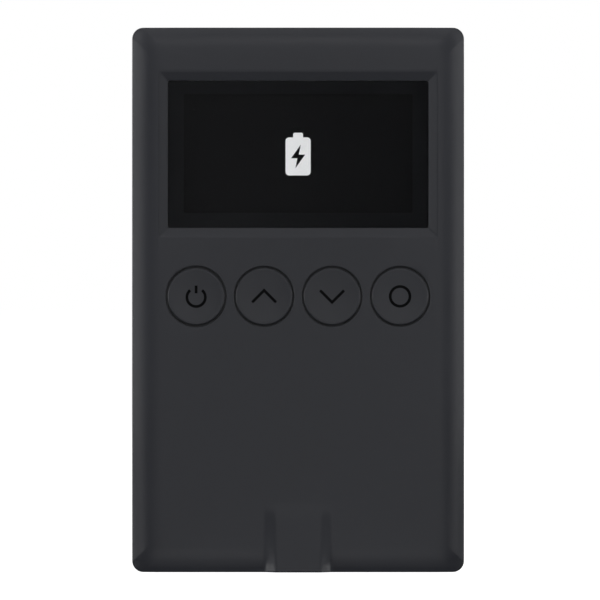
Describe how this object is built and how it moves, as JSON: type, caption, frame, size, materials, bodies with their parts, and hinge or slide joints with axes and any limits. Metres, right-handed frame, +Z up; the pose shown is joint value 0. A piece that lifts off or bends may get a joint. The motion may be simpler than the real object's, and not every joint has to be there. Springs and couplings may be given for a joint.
{
  "type": "pocket keypad and display unit",
  "caption": "Slim hand-held charcoal case with a recessed dark display, a row of round push keys and a socket under a raised rib at its foot.",
  "frame": {"origin": "centre of the case's width and depth, at the height of its bottom edge, with the case upright", "axes": "+Z up the case from the socket to the display's end, -Y out of the display side, +X to the right as seen from the display side"},
  "size_m": [0.054, 0.007, 0.0886],
  "materials": {
    "case": "charcoal, satin, with a very fine moulded grain",
    "keys": "charcoal, satin, a little smoother than the case",
    "window_glass": "black, polished, with a printed black border",
    "panel_glass": "dark display glass",
    "tape": "black double-sided tape",
    "foam": "grey closed-cell foam",
    "flex": "amber polyimide",
    "nylon": "off-white moulded nylon",
    "switch_nylon": "black moulded nylon",
    "board": "green solder mask",
    "chip": "black moulded epoxy",
    "steel": "bright stainless or nickel plate",
    "ceramic": "off-white fired ceramic",
    "pouch": "matt silver laminate",
    "red_lead": "red silicone insulation",
    "black_lead": "black silicone insulation"
  },
  "bodies": {
    "case": {"front_shell": "case", "rear_cover": "case", "display_window": "window_glass", "window_tape": "tape", "panel_gasket": "foam", "display_panel": "panel_glass", "display_driver_chip": "chip", "display_flex": "flex", "flex_connector": "nylon", "panel_pad": "foam", "key_retainer": "nylon", "main_board": "board", "main_chip": "chip", "secure_chip": "chip", "memory_chip": "chip", "charger_chip": "chip", "power_inductor": "chip", "crystal": "steel", "radio_shield": "steel", "chip_antenna": "ceramic", "socket_shell": "steel", "socket_tongue": "chip", "battery_cell": "pouch", "battery_tape": "tape", "battery_guard_board": "board", "battery_socket": "nylon", "battery_plug": "nylon", "battery_lead_red": "red_lead", "battery_lead_black": "black_lead", "board_screw_1": "steel", "board_screw_2": "steel", "board_screw_3": "steel", "board_screw_4": "steel", "power_switch_base": "switch_nylon", "up_switch_base": "switch_nylon", "down_switch_base": "switch_nylon", "confirm_switch_base": "switch_nylon"},
    "power_key": {"power_key": "keys", "power_plunger": "nylon"},
    "up_key": {"up_key": "keys", "up_plunger": "nylon"},
    "down_key": {"down_key": "keys", "down_plunger": "nylon"},
    "confirm_key": {"confirm_key": "keys", "confirm_plunger": "nylon"}
  },
  "joints": [
    {"name": "power_key_press", "type": "slide", "parent": "case", "child": "power_key", "axis": [0, 1, 0], "range_m": [0, 0.0003], "stiffness_N_per_m": 2000, "springref_m": -0.0003},
    {"name": "up_key_press", "type": "slide", "parent": "case", "child": "up_key", "axis": [0, 1, 0], "range_m": [0, 0.0003], "stiffness_N_per_m": 2000, "springref_m": -0.0003},
    {"name": "down_key_press", "type": "slide", "parent": "case", "child": "down_key", "axis": [0, 1, 0], "range_m": [0, 0.0003], "stiffness_N_per_m": 2000, "springref_m": -0.0003},
    {"name": "confirm_key_press", "type": "slide", "parent": "case", "child": "confirm_key", "axis": [0, 1, 0], "range_m": [0, 0.0003], "stiffness_N_per_m": 2000, "springref_m": -0.0003}
  ]
}
